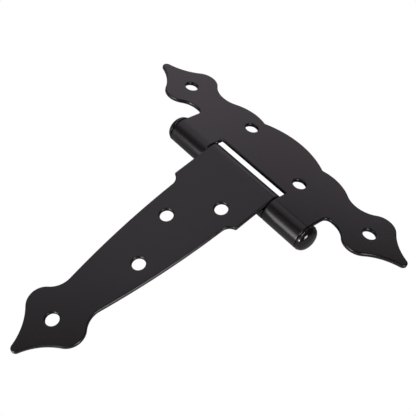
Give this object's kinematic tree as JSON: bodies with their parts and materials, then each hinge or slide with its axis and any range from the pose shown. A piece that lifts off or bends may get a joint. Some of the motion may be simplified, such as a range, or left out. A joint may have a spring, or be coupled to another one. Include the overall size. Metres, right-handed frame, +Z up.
{
  "type": "tee hinge",
  "caption": "Black sheet-steel tee hinge: tapered strap leaf and cross leaf with pointed finials, rolled on a headed pin.",
  "frame": {"origin": "middle of the bounding box's bottom face, on the table the hinge lies on", "axes": "+X along the hinge pin; +Y from the strap's tip towards the cross leaf; +Z up, away from the table"},
  "size_m": [0.1658, 0.17, 0.0132],
  "materials": {
    "leaf_coat": "smooth satin black powder coat on sheet steel",
    "pin_coat": "glossier black powder coat on the riveted pin's domed heads"
  },
  "bodies": {
    "cross": {"cross_leaf": "leaf_coat", "hinge_pin": "pin_coat"},
    "strap": {"strap_leaf": "leaf_coat"}
  },
  "joints": [
    {"name": "fold", "type": "hinge", "parent": "cross", "child": "strap", "pos_m": [0, 0.04431, 0.0066], "axis": [1, 0, 0], "range_deg": [-116.1, 170.4]}
  ]
}
